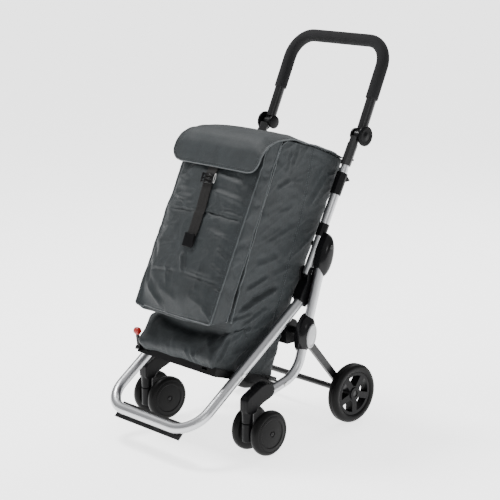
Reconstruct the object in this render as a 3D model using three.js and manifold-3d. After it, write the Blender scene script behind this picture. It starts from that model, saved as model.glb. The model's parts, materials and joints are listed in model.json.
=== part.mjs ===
// A folding shopping trolley: fabric bag on a tray, a front U-shaped frame tube, two bent side tubes,
// twin-wheel swivel casters in front, two spoked wheels on folding rear legs, and a telescopic handle
// that tilts at two knobs. Millimetres, +X to the right side, -Y to the front, +Z up.
import * as THREE from "three";
import { mergeVertices } from "three/addons/utils/BufferGeometryUtils.js";
import Module from "manifold-3d";

const wasm = await Module();
wasm.setup();

// ---------- driving dimensions ----------
// Side-view points are [y, z], with y = 0 at the casters' swivel axes and z = 0 on the ground.
const GAP = 0.4; // between pieces that touch
const ROUND = 12; // sides of a tube's section
const BEND_STEPS = 5; // stations in one tube bend

// planes across the width
const SIDE_X = 196.6; // side tubes, casters, and near enough the rear wheels
const UPPER_X = 168.6; // upper tubes and front frame's sockets
const FRONT_X = 167.6; // front frame tube
const HANDLE_X = 169.3; // handle arms
const BAG_HALF = 150;
const PAST_TUBES = 190; // half length of a cutter through both sides

// pivots of the folding linkage
const FOLD_PIVOT = [272.5, 498];
const LINK_PIVOT = [238, 432];
const TRAY_LINK_PIVOT = [0, 207];
const TRAY_PIVOT = [121, 163.5];
const LEG_PIVOT = [206, 279];
const AXLE = [378, 80];
const KNOB = [427.5, 763.5];

// tubes
const SIDE_TUBE_R = 12.5;
const FRONT_TUBE_R = 13.6;
const UPPER_TUBE_R = 12;
const INNER_TUBE_R = 10.1;
const HANDLE_TUBE_R = 13.6;
const TUBE_WALL = 1.6;
const PIN_R = 4;

const SIDE_TUBE_TOP = [269.5, 488];
const SIDE_TUBE_BEND = [172, 177.6];
const SIDE_TUBE_END = [58, 148];
const SIDE_BEND_R = 80;

const FRONT_TUBE_TOP = [226, 368.6];
const FRONT_BAR = [-164, 89.7];
const FRONT_BEND_R = 72;

const UPPER_SLOPE = 62.4; // degrees above horizontal
const UPPER_START = -8.5; // along the tube, from the link pivot
const UPPER_END = 283;
const SLEEVE_START = 212;
const SLEEVE_END = 271;
const SLEEVE_R = 15;
const COLLAR_START = 96;
const COLLAR_END = 131;
const COLLAR_R = 14;
const SOCKET_START = 293;
const SOCKET_R = 14;
const SOCKET_DEPTH = 30; // that the inner tube reaches into it
const INNER_TUBE_START = 100;
const KNOB_ALONG = 381.5; // where the knob stands beside the tube's line
const KNOB_PIN_R = 5;
const EYE_R = 13; // the eye that the knob's pin passes through
const EYE_HALF = 12.4; // half the eye's width

const HANDLE_SLOPE = 65.5;
const HANDLE_TUBE_START = 14; // along the arm, from the knob
const GRIP_START = 99; // along the arm, from the knob
const HANDLE_BAR = [534, 997];
const HANDLE_BEND_R = 68;
const GRIP_R = 16.8;
const KNOB_R = 26; // its outer plate
const KNOB_INNER_R = 18.5;
const KNOB_FACES = [148, 191.4]; // from the middle to its inner and outer face
const KNOB_T = 7.6;

const CASTER_R = 58.4;
const CASTER_T = 26;
const CASTER_HALF = 33.5; // half the spacing of a caster's two wheels
const CASTER_TRAIL = 40.8;
const STEM_R = 15;
const STEM_SPLIT = 87;
const SWIVEL = { left: -5.4, right: 1.7 }; // degrees that the casters stand turned

const WHEEL_R = 80;
const WHEEL_T = 31;
const WHEEL_X = 198.4;
const RIM_R = 58;
const SPOKES = 5;
const AXLE_R = 8;

const LEG_X = 176.2;
const LEG_T = 10;
const LEG_HALF = 9.5; // half the strut's height
const LEG_PIN_R = 9;

const BAG_WALL = 2.5;
const POCKET_HALF = 146;
const FLAP_HALF = 153;

// the origin lies midway between the front bar and the hand grip, on the ground
const ORIGIN_Y = (FRONT_BAR[0] - FRONT_TUBE_R + HANDLE_BAR[0] + GRIP_R) / 2;

const FINISH = {
  aluminium: { color: 0xc9cbd0, roughness: 0.38, metalness: 0.9 },
  steel: { color: 0xb9bbbe, roughness: 0.3, metalness: 1 },
  plastic: { color: 0x1d1e20, roughness: 0.5, metalness: 0 },
  gloss: { color: 0x17181a, roughness: 0.28, metalness: 0 },
  paint: { color: 0x151617, roughness: 0.4, metalness: 0.3 },
  foam: { color: 0x131314, roughness: 0.9, metalness: 0 },
  rubber: { color: 0x1b1c1d, roughness: 0.7, metalness: 0 },
  silver: { color: 0xd4d5d7, roughness: 0.35, metalness: 0.6 },
  red: { color: 0xc22a20, roughness: 0.4, metalness: 0 },
  fabric: { color: 0x3f484a, roughness: 0.85, metalness: 0 },
  webbing: { color: 0x141516, roughness: 0.8, metalness: 0 },
};

// ---------- helpers ----------
const trolley = new THREE.Group();
trolley.position.y = -ORIGIN_Y;

const rad = THREE.MathUtils.degToRad;
const SIDE_VIEW = new THREE.Matrix4().makeBasis(
  new THREE.Vector3(0, 1, 0),
  new THREE.Vector3(0, 0, 1),
  new THREE.Vector3(1, 0, 0),
);

function add(name, finish, geometry, parent = trolley) {
  const mesh = new THREE.Mesh(geometry, new THREE.MeshStandardMaterial(FINISH[finish]));
  mesh.name = name;
  parent.add(mesh);
  return mesh;
}

// calls build(side, sign) for the left (-1) and right (+1) sides
function bothSides(build) {
  build("left", -1);
  build("right", 1);
}

// a point at a distance along a slope and across it (to the front and up), in the side view
function along(from, slope, distance, across = 0) {
  const c = Math.cos(rad(slope));
  const s = Math.sin(rad(slope));
  return [from[0] + c * distance - s * across, from[1] + s * distance + c * across];
}

function circle(r, sides = ROUND) {
  const turn = (i) => (2 * Math.PI * i) / sides;
  return Array.from({ length: sides }, (_, i) => [r * Math.cos(turn(i)), r * Math.sin(turn(i))]);
}

function shapeOf(outline, holes = []) {
  const vectors = (points) => points.map((p) => new THREE.Vector2(...p));
  const shape = new THREE.Shape(vectors(outline));
  shape.holes = holes.map((hole) => new THREE.Path(vectors(hole)));
  return shape;
}

// a side-view outline extruded across the width from x0 to x1
function slab(outline, x0, x1, holes = []) {
  const options = { depth: x1 - x0, bevelEnabled: false };
  const geometry = new THREE.ExtrudeGeometry(shapeOf(outline, holes), options);
  return geometry.applyMatrix4(SIDE_VIEW).translate(x0, 0, 0);
}

// a round bar across the width
function crossBar(centre, r, x0, x1, sides = 20) {
  const geometry = new THREE.CylinderGeometry(r, r, x1 - x0, sides);
  return geometry.rotateZ(-Math.PI / 2).translate((x0 + x1) / 2, centre[0], centre[1]);
}

// a profile of [radius, x] turned about an axis across the width
function turned(profile, centre, x, sides) {
  const points = profile.map(([r, h]) => new THREE.Vector2(r, h));
  const geometry = new THREE.LatheGeometry(points, sides);
  return geometry.rotateZ(-Math.PI / 2).translate(x, centre[0], centre[1]);
}

// a curve that keeps exactly the stations it is given: the ends of straights and steps in bends
class Route extends THREE.Curve {
  constructor(stations) {
    super();
    this.stations = stations;
  }
  at(t) {
    return this.stations[Math.round(t * (this.stations.length - 1))];
  }
  getPoint(t, target = new THREE.Vector3()) {
    return target.copy(this.at(t).point);
  }
  getPointAt(u, target) {
    return this.getPoint(u, target);
  }
  getTangentAt(u, target = new THREE.Vector3()) {
    return target.copy(this.at(u).tangent);
  }
}

// a route through corners, each rounded with a bend of the given radius
function route(corners, radius) {
  const dir = (a, b) => b.clone().sub(a).normalize();
  const last = corners.length - 1;
  const stations = [{ point: corners[0], tangent: dir(corners[0], corners[1]) }];
  for (let i = 1; i < last; i++) {
    const before = dir(corners[i - 1], corners[i]);
    const after = dir(corners[i], corners[i + 1]);
    const turn = before.angleTo(after);
    const inward = after.clone().addScaledVector(before, -before.dot(after)).normalize();
    const start = corners[i].clone().addScaledVector(before, -radius * Math.tan(turn / 2));
    for (let k = 0; k <= BEND_STEPS; k++) {
      const a = (turn * k) / BEND_STEPS;
      const point = start.clone().addScaledVector(before, radius * Math.sin(a));
      point.addScaledVector(inward, radius * (1 - Math.cos(a)));
      const tangent = before.clone().multiplyScalar(Math.cos(a)).addScaledVector(inward, Math.sin(a));
      stations.push({ point, tangent });
    }
  }
  stations.push({ point: corners[last], tangent: dir(corners[last - 1], corners[last]) });
  return new Route(stations);
}

// a round tube along a route; no inner radius makes a solid bar
function tube(path, outer, inner = 0) {
  const shape = shapeOf(circle(outer), inner ? [circle(inner)] : []);
  const steps = path.stations.length - 1;
  return new THREE.ExtrudeGeometry(shape, { steps, extrudePath: path, bevelEnabled: false });
}

function inSidePlane(points, x) {
  return points.map(([y, z]) => new THREE.Vector3(x, y, z));
}

function straightTube(x, from, to, outer, inner = 0) {
  return tube(route(inSidePlane([from, to], x), 0), outer, inner);
}

function solid(geometry) {
  const bare = geometry.index ? geometry.toNonIndexed() : geometry.clone();
  bare.deleteAttribute("normal");
  bare.deleteAttribute("uv");
  const merged = mergeVertices(bare, 1e-3);
  const vertProperties = merged.attributes.position.array;
  const triVerts = new Uint32Array(merged.index.array);
  return new wasm.Manifold(new wasm.Mesh({ numProp: 3, vertProperties, triVerts }));
}

function geometryOf(manifold) {
  const mesh = manifold.getMesh();
  const geometry = new THREE.BufferGeometry();
  geometry.setAttribute("position", new THREE.BufferAttribute(mesh.vertProperties, 3));
  geometry.setIndex(new THREE.BufferAttribute(mesh.triVerts, 1));
  return geometry;
}

function cut(geometry, ...tools) {
  return geometryOf(tools.reduce((body, tool) => body.subtract(solid(tool)), solid(geometry)));
}

function join(geometry, ...others) {
  return geometryOf(others.reduce((body, other) => body.add(solid(other)), solid(geometry)));
}

// an outline's corners rounded with short arcs
function rounded(outline, radius, steps = 3) {
  const out = [];
  outline.forEach((corner, i) => {
    const before = new THREE.Vector2(...outline.at(i - 1));
    const here = new THREE.Vector2(...corner);
    const after = new THREE.Vector2(...outline[(i + 1) % outline.length]);
    const a = here.clone().add(before.clone().sub(here).setLength(radius));
    const b = here.clone().add(after.clone().sub(here).setLength(radius));
    const bend = new THREE.QuadraticBezierCurve(a, here, b);
    bend.getPoints(steps).forEach((p) => out.push([p.x, p.y]));
  });
  return out;
}

// a domed oval plate that faces outwards: half sizes along and across a slope, from x0 out to x1
const DOME = [[0, 0], [1, 0], [1, 0.45], [0.93, 0.75], [0.7, 0.93], [0.35, 1], [0, 1]];

function ovalDome(sign, centre, slope, halfLength, halfWidth, x0, x1) {
  const points = DOME.map(([r, h]) => new THREE.Vector2(r, h));
  const geometry = new THREE.LatheGeometry(points, 28);
  geometry.rotateZ((-sign * Math.PI) / 2);
  geometry.scale(x1 - x0, halfWidth, halfLength);
  geometry.rotateX(rad(slope - 90));
  return geometry.translate(sign * x0, centre[0], centre[1]);
}

// ---------- side frame ----------
function sideTubeRoute(sign) {
  const corners = [SIDE_TUBE_TOP, SIDE_TUBE_BEND, SIDE_TUBE_END];
  return route(inSidePlane(corners, sign * SIDE_X), SIDE_BEND_R);
}

function sideTube(side, sign) {
  const body = tube(sideTubeRoute(sign), SIDE_TUBE_R, SIDE_TUBE_R - TUBE_WALL);
  const outer = sign * (SIDE_X + SIDE_TUBE_R + 1);
  const inner = sign * (SIDE_X - SIDE_TUBE_R - 1);
  const x0 = Math.min(inner, outer);
  const x1 = Math.max(inner, outer);
  const bolt = crossBar(TRAY_PIVOT, PIN_R + GAP, x0, x1);
  add(`side_tube_${side}`, "aluminium", cut(body, bolt));
}

function hingeCover(side, sign) {
  const centre = [269.5, 472];
  const body = ovalDome(sign, centre, 74, 59, 22.5, 184.5, 218.5);
  const tubeSpace = tube(sideTubeRoute(sign), SIDE_TUBE_R + GAP);
  const span = [sign * 150, sign * 225].sort((a, b) => a - b);
  const pinHole = crossBar(FOLD_PIVOT, PIN_R + GAP, ...span);
  add(`hinge_cover_${side}`, "gloss", cut(body, tubeSpace, pinHole));
}

// a pin across the width, with a round head at its outer end and, if asked, one inside
function headedPin(sign, centre, inner, outer, headR, innerHead = 0) {
  const profile = [[0, inner], [innerHead || PIN_R, inner]];
  if (innerHead) profile.push([innerHead, inner + 2], [PIN_R, inner + 2]);
  profile.push([PIN_R, outer], [headR, outer], [headR * 0.8, outer + 2], [0, outer + 2.4]);
  const ordered = sign > 0 ? profile : profile.map(([r, x]) => [r, -x]).reverse();
  return turned(ordered, centre, 0, 16);
}

function foldPin(side, sign) {
  add(`fold_pin_${side}`, "steel", headedPin(sign, FOLD_PIVOT, 152.6, 218.9, 6, 7));
}

function legJoint(side, sign) {
  const centre = [203, 280];
  const body = ovalDome(sign, centre, 75, 51, 27, 184.5, 217);
  const tubeSpace = tube(sideTubeRoute(sign), SIDE_TUBE_R + GAP);
  add(`leg_joint_${side}`, "gloss", cut(body, tubeSpace));
}

function jointCap(side, sign) {
  const cap = ovalDome(sign, [204.5, 276], 78, 31, 15.5, 217.4, 221);
  add(`joint_cap_${side}`, "silver", cap);
}

// the beam behind the bag that ties the two sides and carries the rear legs' pivots
function crossBeam() {
  const outline = [[183, 243], [216, 243], [224, 262], [224, 298], [214, 306], [183, 306]];
  const block = slab(rounded(outline, 5), -147, 147);
  const hollow = slab([[189, 240], [212, 240], [219, 262], [219, 296], [211, 301], [189, 301]], -141, 141);
  const shaft = crossBar(LEG_PIVOT, LEG_PIN_R, -184, 184);
  add("cross_beam", "plastic", join(cut(block, hollow), shaft));
}

// the knuckle that holds the side tube's front end over the caster's stem
function casterHousing(side, sign) {
  const outline = [
    [-14.6, 118], [-14.6, 148], [-8, 157], [34, 178], [52, 181.5], [68, 179], [79, 168],
    [81, 156], [76, 146], [64, 140], [42, 133], [24, 124], [15, 112],
  ];
  const x = sign * SIDE_X;
  const knuckle = slab(outline, x - 14.6, x + 14.6);
  const stem = new THREE.CylinderGeometry(STEM_R, STEM_R, 60, 20).rotateX(Math.PI / 2);
  stem.translate(x, 0, STEM_SPLIT + GAP + 30);
  const tubeSpace = tube(sideTubeRoute(sign), SIDE_TUBE_R + GAP);
  add(`caster_housing_${side}`, "plastic", cut(join(knuckle, stem), tubeSpace));
}

// ---------- upper frame ----------
function upperPoint(distance, across = 0) {
  return along(LINK_PIVOT, UPPER_SLOPE, distance, across);
}

function upperTube(side, sign) {
  const x = sign * UPPER_X;
  const ends = [upperPoint(UPPER_START), upperPoint(UPPER_END)];
  const body = straightTube(x, ...ends, UPPER_TUBE_R, UPPER_TUBE_R - TUBE_WALL);
  const reach = UPPER_TUBE_R + 3;
  const holes = [FOLD_PIVOT, LINK_PIVOT].map((p) => crossBar(p, PIN_R + GAP, x - reach, x + reach));
  add(`upper_tube_${side}`, "aluminium", cut(body, ...holes));
}

// a clamp or collar around the upper tube
function tubeBand(name, sign, start, end, outer) {
  const ends = [upperPoint(start), upperPoint(end)];
  const band = straightTube(sign * UPPER_X, ...ends, outer, UPPER_TUBE_R + GAP);
  add(name, "plastic", band);
}

function clampSleeve(side, sign) {
  tubeBand(`clamp_sleeve_${side}`, sign, SLEEVE_START, SLEEVE_END, SLEEVE_R);
}

// the small release catch at the back of the sleeve, on an eye at its lower end
function clampCatch(side, sign) {
  const x = sign * UPPER_X;
  const behind = SLEEVE_R + GAP;
  const place = (d, a) => upperPoint(SLEEVE_END + d, -behind - a);
  const eye = crossBar(place(-14, 3.2), 3, x - 6, x + 6, 16);
  const blade = [
    place(-14, 0.3), place(-2, 0.3), place(-4, 5), place(-9, 15), place(-11, 15), place(-16, 4),
  ];
  add(`clamp_catch_${side}`, "plastic", join(eye, slab(blade, x - 5, x + 5)));
}

// ---------- telescopic handle ----------
function innerTube(side, sign) {
  const ends = [upperPoint(INNER_TUBE_START), upperPoint(SOCKET_START + SOCKET_DEPTH)];
  const inner = INNER_TUBE_R - TUBE_WALL;
  add(`inner_tube_${side}`, "aluminium", straightTube(sign * UPPER_X, ...ends, INNER_TUBE_R, inner));
}

// the black lower handle tube, with an eye for the tilt pin behind its top end
function handleSocket(side, sign) {
  const x = sign * UPPER_X;
  const [narrow, top] = [KNOB_ALONG - KNOB_R - 3, KNOB_ALONG - 10];
  const body = straightTube(x, upperPoint(SOCKET_START), upperPoint(narrow), SOCKET_R);
  const neck = straightTube(x, upperPoint(narrow - 1), upperPoint(top), EYE_HALF);
  const eye = crossBar(KNOB, EYE_R, x - EYE_HALF, x + EYE_HALF);
  const button = straightTube(x, upperPoint(SOCKET_START + 22), upperPoint(SOCKET_START + 22, -22), 3);
  const boreEnds = [upperPoint(SOCKET_START - 2), upperPoint(SOCKET_START + SOCKET_DEPTH + 1)];
  const bore = straightTube(x, ...boreEnds, INNER_TUBE_R + GAP);
  const pinHole = crossBar(KNOB, KNOB_PIN_R + GAP, x - 16, x + 16);
  add(`handle_socket_${side}`, "paint", cut(join(body, neck, eye, button), bore, pinHole));
}

// the arms and the bar between them, each arm starting at a distance from the knob
function handleRoute(start) {
  const foot = (sign) => new THREE.Vector3(sign * HANDLE_X, ...along(KNOB, HANDLE_SLOPE, start));
  const corner = (sign) => new THREE.Vector3(sign * HANDLE_X, ...HANDLE_BAR);
  return route([foot(-1), corner(-1), corner(1), foot(1)], HANDLE_BEND_R);
}

function handleTube() {
  const bar = tube(handleRoute(HANDLE_TUBE_START), HANDLE_TUBE_R, HANDLE_TUBE_R - TUBE_WALL);
  const clearance = crossBar(KNOB, EYE_R + 1.6, -PAST_TUBES, PAST_TUBES, 24);
  add("handle_tube", "paint", cut(bar, clearance));
}

function foamGrip() {
  add("foam_grip", "foam", tube(handleRoute(GRIP_START), GRIP_R, HANDLE_TUBE_R + GAP));
}

// two round plates on one pin, which grip the handle arm and turn on the socket's eye
function tiltKnob(side, sign) {
  const [inner, outer] = KNOB_FACES;
  const innerR = KNOB_INNER_R;
  const r = KNOB_PIN_R;
  const profile = [
    [0, inner], [innerR - 3, inner], [innerR, inner + 2.5], [innerR, inner + KNOB_T], [r, inner + KNOB_T],
    [r, outer - KNOB_T], [KNOB_R, outer - KNOB_T], [KNOB_R, outer - 2.5], [KNOB_R - 3, outer], [0, outer],
  ];
  const ordered = sign > 0 ? profile : profile.map(([q, x]) => [q, -x]).reverse();
  add(`tilt_knob_${side}`, "plastic", turned(ordered, KNOB, 0, 28));
}

// ---------- front frame ----------
function frontRoute() {
  const corner = (sign) => new THREE.Vector3(sign * FRONT_X, ...FRONT_BAR);
  const end = (sign) => new THREE.Vector3(sign * FRONT_X, ...FRONT_TUBE_TOP);
  return route([end(-1), corner(-1), corner(1), end(1)], FRONT_BEND_R);
}

function frontTube() {
  const body = tube(frontRoute(), FRONT_TUBE_R, FRONT_TUBE_R - TUBE_WALL);
  add("front_tube", "aluminium", cut(body, crossBar(TRAY_LINK_PIVOT, PIN_R + GAP, -PAST_TUBES, PAST_TUBES)));
}

// the socket over the front tube's end, with two cheeks that pivot on the upper tube's foot
function frameConnector(side, sign) {
  const x = sign * FRONT_X;
  const outline = [
    [216.3, 342.5], [234, 358], [246, 388], [251, 418], [252.4, 432], [248, 442], [238, 446.3],
    [228, 442], [223.8, 432], [222, 408], [206, 386], [197.7, 369],
  ];
  const body = slab(outline, x - 16, x + 16);
  const slope = THREE.MathUtils.radToDeg(
    Math.atan2(FRONT_TUBE_TOP[1] - FRONT_BAR[1], FRONT_TUBE_TOP[0] - FRONT_BAR[0]),
  );
  const mouth = along(FRONT_TUBE_TOP, slope, -60);
  const tubeSpace = straightTube(x, mouth, along(FRONT_TUBE_TOP, slope, GAP), FRONT_TUBE_R + GAP);
  const slotHalf = UPPER_TUBE_R + GAP;
  const turnSpace = crossBar(LINK_PIVOT, 15.4, sign * UPPER_X - slotHalf, sign * UPPER_X + slotHalf, 24);
  const rest = UPPER_SLOPE;
  const folded = UPPER_SLOPE + 144;
  const restEdge = along(LINK_PIVOT, rest, 0, -13);
  const foldedEdge = along(LINK_PIVOT, folded, 0, 13);
  const slot = [
    restEdge, along(restEdge, rest, 60), along(LINK_PIVOT, (rest + folded) / 2, 90),
    along(foldedEdge, folded, 60), foldedEdge,
  ];
  const slotSpace = slab(slot, sign * UPPER_X - slotHalf, sign * UPPER_X + slotHalf);
  const pinHole = crossBar(LINK_PIVOT, PIN_R + GAP, x - 20, x + 20);
  const made = cut(body, tubeSpace, turnSpace, slotSpace, pinHole);
  add(`frame_connector_${side}`, "plastic", made);
}

function linkPin(side, sign) {
  const x0 = sign * FRONT_X - 15.6;
  const x1 = sign * FRONT_X + 15.6;
  add(`link_pin_${side}`, "steel", crossBar(LINK_PIVOT, PIN_R, x0, x1, 16));
}

// the bolt through the front tube where the tray hooks on
function trayLinkBolt(side, sign) {
  const bolt = headedPin(sign, TRAY_LINK_PIVOT, 151.6, FRONT_X + FRONT_TUBE_R + GAP, 5.5);
  add(`tray_link_bolt_${side}`, "steel", bolt);
}

// a flat plate under the front bar, which shows in front of it and behind it
const PAD_HALF = 125;

function footPad() {
  const centre = along(FRONT_BAR, 45, 0, -(FRONT_TUBE_R + GAP));
  const rear = along(centre, 45, 24);
  const front = along(centre, 45, -21);
  const outline = [rear, along(rear, 45, 0, -3.5), along(front, 45, 0, -3.5), front];
  const plate = slab(outline, -PAD_HALF, PAD_HALF);
  add("foot_pad", "rubber", cut(plate, tube(frontRoute(), FRONT_TUBE_R + GAP)));
}

// ---------- tray ----------
const TRAY_SLOPE = 180 - 17.95; // from its rear edge up to its front edge
const TRAY_REAR = [144, 153];
const TRAY_LENGTH = 220.7;
const TRAY_HALF = 150;
const TRAY_LIP = 10; // half the rim's height
const TRAY_FLOOR = 3;

function trayPoint(distance, up) {
  return along(TRAY_REAR, TRAY_SLOPE, distance, -up);
}

const LEVER_X = -142;
const LEVER_PIVOT = trayPoint(TRAY_LENGTH + 5.4, 1.5);

function trayBox(d0, d1, up0, up1, x0, x1) {
  const corners = [trayPoint(d0, up0), trayPoint(d0, up1), trayPoint(d1, up1), trayPoint(d1, up0)];
  return slab(corners, x0, x1);
}

// a shallow tub on the side tubes' bolts, with small slots and the lever's ears on its front lip
function tray() {
  const wall = 3;
  const outer = trayBox(0, TRAY_LENGTH, -TRAY_LIP, TRAY_LIP, -TRAY_HALF, TRAY_HALF);
  const floor = TRAY_FLOOR - TRAY_LIP;
  const well = trayBox(wall, TRAY_LENGTH - wall, floor, TRAY_LIP + 5, wall - TRAY_HALF, TRAY_HALF - wall);
  const bolt = crossBar(TRAY_PIVOT, PIN_R + GAP, -160, 160);
  const slots = [-108, 108].map((x) => trayBox(TRAY_LENGTH - 10, TRAY_LENGTH + 5, 0, 5, x - 9, x + 9));
  const ear = (x) => trayBox(TRAY_LENGTH - 1, TRAY_LENGTH + 10, -4, 6, x - 1.2, x + 1.2);
  const ears = [LEVER_X - 7.2, LEVER_X + 7.2].map(ear);
  const pin = crossBar(LEVER_PIVOT, 2, LEVER_X - 7.2, LEVER_X + 7.2, 12);
  add("tray", "plastic", join(cut(outer, well, bolt, ...slots), ...ears, pin));
}

function trayBolt(side, sign) {
  const outer = SIDE_X + SIDE_TUBE_R + GAP;
  add(`tray_bolt_${side}`, "steel", headedPin(sign, TRAY_PIVOT, TRAY_HALF - 2.8, outer, 5.5));
}

// the fold release at the tray's front left corner
function releaseLever() {
  const [y, z] = LEVER_PIVOT;
  const stem = slab([[y - 1, z], [y + 3, z], [y - 1.5, z + 36], [y - 6, z + 35]], LEVER_X - 5, LEVER_X + 5);
  const eye = crossBar(LEVER_PIVOT, 4.2, LEVER_X - 5, LEVER_X + 5, 16);
  const hole = crossBar(LEVER_PIVOT, 2 + GAP, LEVER_X - 6, LEVER_X + 6, 12);
  add("release_lever", "plastic", cut(join(stem, eye), hole));
}

function releaseKnob() {
  const [y, z] = LEVER_PIVOT;
  const profile = [[0, -9], [6, -9], [9, -6], [10, 0], [9, 6], [6, 9], [0, 9]];
  const knob = turned(profile, [y - 4, z + 46], LEVER_X, 20);
  add("release_knob", "red", knob);
}

// ---------- rear legs and wheels ----------
function rearLeg(side, sign) {
  const slope = THREE.MathUtils.radToDeg(Math.atan2(AXLE[1] - LEG_PIVOT[1], AXLE[0] - LEG_PIVOT[0]));
  const length = Math.hypot(AXLE[0] - LEG_PIVOT[0], AXLE[1] - LEG_PIVOT[1]);
  const corners = [[0, -LEG_HALF], [length, -LEG_HALF], [length, LEG_HALF], [0, LEG_HALF]];
  const strut = corners.map(([d, a]) => along(LEG_PIVOT, slope, d, a));
  const x0 = sign * LEG_X - LEG_T / 2;
  const x1 = sign * LEG_X + LEG_T / 2;
  const eyes = [crossBar(LEG_PIVOT, 13.5, x0, x1), crossBar(AXLE, 13, x0, x1)];
  const bores = [[LEG_PIVOT, LEG_PIN_R], [AXLE, AXLE_R]];
  const holes = bores.map(([centre, r]) => crossBar(centre, r + GAP, x0 - 1, x1 + 1));
  add(`rear_leg_${side}`, "paint", cut(join(slab(strut, x0, x1), ...eyes), ...holes));
}

function rearAxle() {
  add("rear_axle", "paint", crossBar(AXLE, AXLE_R, -211, 211, 16));
}

function sector(inner, outer, from, to, steps = 4) {
  const arc = (r, a, b) =>
    Array.from({ length: steps + 1 }, (_, i) => {
      const t = a + ((b - a) * i) / steps;
      return [r * Math.cos(t), r * Math.sin(t)];
    });
  return [...arc(outer, from, to), ...arc(inner, to, from)];
}

function rearRim(side, sign) {
  const window = (i) => {
    const middle = (2 * Math.PI * (i + 0.25)) / SPOKES;
    const half = Math.PI / SPOKES;
    const outer = sector(50, 50, middle - half + 0.17, middle + half - 0.17, 5).slice(0, 6);
    const inner = sector(21, 21, middle + half - 0.42, middle - half + 0.42, 2).slice(0, 3);
    return [...outer, ...inner];
  };
  const holes = [circle(AXLE_R + GAP, 16), ...Array.from({ length: SPOKES }, (_, i) => window(i))];
  const disc = slab(circle(RIM_R, 40), -12, 12, holes);
  const bore = AXLE_R + GAP;
  const hub = turned([[bore, -15], [17, -15], [17, 15], [bore, 15], [bore, -15]], [0, 0], 0, 20);
  add(`rear_rim_${side}`, "plastic", join(disc, hub)).position.set(sign * WHEEL_X, ...AXLE);
}

function rearTyre(side, sign) {
  const h = WHEEL_T / 2;
  const bead = RIM_R + GAP;
  const profile = [
    [bead, -12], [66, -h], [73, -h + 1], [78, -h + 5], [WHEEL_R, -5], [WHEEL_R, 5],
    [78, h - 5], [73, h - 1], [66, h], [bead, 12], [bead, -12],
  ];
  add(`rear_tyre_${side}`, "rubber", turned(profile, [0, 0], 0, 40)).position.set(sign * WHEEL_X, ...AXLE);
}

// ---------- casters ----------
const CASTER_BORE = 5;

function caster(side, sign) {
  const swivel = new THREE.Group();
  swivel.position.x = sign * SIDE_X;
  swivel.rotation.z = rad(SWIVEL[side]);
  trolley.add(swivel);
  const hub = [CASTER_TRAIL, CASTER_R];
  const stem = new THREE.CylinderGeometry(STEM_R, STEM_R, STEM_SPLIT - 39, 20).rotateX(Math.PI / 2);
  stem.translate(0, 0, (STEM_SPLIT + 39) / 2);
  const arm = slab([[0, 41], [10, 39.5], [54, 47], [54, 68], [10, 84], [0, 84]], -13, 13);
  const axle = crossBar(hub, CASTER_BORE, -44, 44, 16);
  add(`caster_fork_${side}`, "plastic", join(stem, arm, axle), swivel);
  for (const [place, across] of [["inner", -sign], ["outer", sign]]) {
    const h = CASTER_T / 2;
    const r = CASTER_BORE + GAP;
    const profile = [
      [r, -h + 1], [38, -h + 3], [50, -h], [55.5, -h + 3.5], [CASTER_R, -5], [CASTER_R, 5],
      [55.5, h - 3.5], [50, h], [38, h - 1], [r, h - 1], [r, -h + 1],
    ];
    const wheel = add(`caster_wheel_${place}_${side}`, "rubber", turned(profile, [0, 0], 0, 32), swivel);
    wheel.position.set(across * CASTER_HALF, ...hub);
    if (across < 0) wheel.rotation.z = Math.PI;
  }
}

// ---------- bag ----------
const BAG_OUTLINE = [
  [-57, 218.5], [-60, 246], [-36, 312], [-25, 335], [56, 515], [163, 766], [186, 779], [213, 777],
  [261, 758], [298, 740], [380, 705], [321, 596], [225, 404], [162, 262], [139, 175], [134, 157.5],
];
// the lining, one wall inside the outline, and out through the top
const BAG_INSIDE = [
  [-53.5, 220.5], [-57, 245.5], [-33.5, 311], [-22.5, 334], [58.5, 514], [166, 766], [186, 810],
  [426, 800], [318.6, 597], [222.5, 405], [159.5, 263], [136.5, 175.5], [132, 160.5],
];

// it is as wide as the frame lets it be, and narrower where it stands in the tray
function bagBody() {
  const lower = TRAY_HALF - 3.6;
  const shell = slab(BAG_OUTLINE, -BAG_HALF, BAG_HALF);
  const inside = slab(BAG_INSIDE, BAG_WALL - lower, lower - BAG_WALL);
  const rim = (x0, x1) => trayBox(-20, TRAY_LENGTH + 20, -TRAY_LIP, TRAY_LIP + 2, x0, x1);
  add("bag_body", "fabric", cut(shell, inside, rim(-BAG_HALF - 1, -lower), rim(lower, BAG_HALF + 1)));
}

function bagPocket() {
  const outline = [[-82, 341], [86, 697], [100, 703], [133, 701], [54.5, 515], [-25.5, 337.5], [-40, 340]];
  const inside = [[-77, 343.5], [88.5, 694], [106, 730], [140, 730], [52, 516], [-27, 341.5], [-40, 343]];
  const shell = slab(outline, -POCKET_HALF, POCKET_HALF);
  const space = slab(inside, BAG_WALL - POCKET_HALF, POCKET_HALF - BAG_WALL);
  add("bag_pocket", "fabric", cut(shell, space));
}

// the lid: hinged along the bag's top rear edge, resting on the top and hanging over the front
function bagFlap() {
  const outline = [
    [66, 703], [70, 703], [77, 729], [90, 755], [108, 774], [128, 782.5], [180, 783], [213, 779.5],
    [261, 761], [298, 743], [382, 708], [383, 712], [299, 747], [262, 765], [214, 784], [180, 787],
    [127, 787], [105, 778], [86, 757], [73, 729],
  ];
  add("bag_flap", "fabric", slab(outline, -FLAP_HALF, FLAP_HALF));
}

// the webbing that ties the lid down, hanging from under its front edge
const STRAP_TOP = [66, 699];
const STRAP_SLOPE = 68.6;
const STRAP_LENGTH = 205;
const STRAP_HALF = 13;

function bagStrap() {
  const place = (d, a) => along(STRAP_TOP, STRAP_SLOPE, -d, a);
  const outline = [place(0, 0), place(0, 2.4), place(STRAP_LENGTH, 2.4), place(STRAP_LENGTH, 0)];
  add("bag_strap", "webbing", slab(outline, -STRAP_HALF, STRAP_HALF));
}

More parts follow.
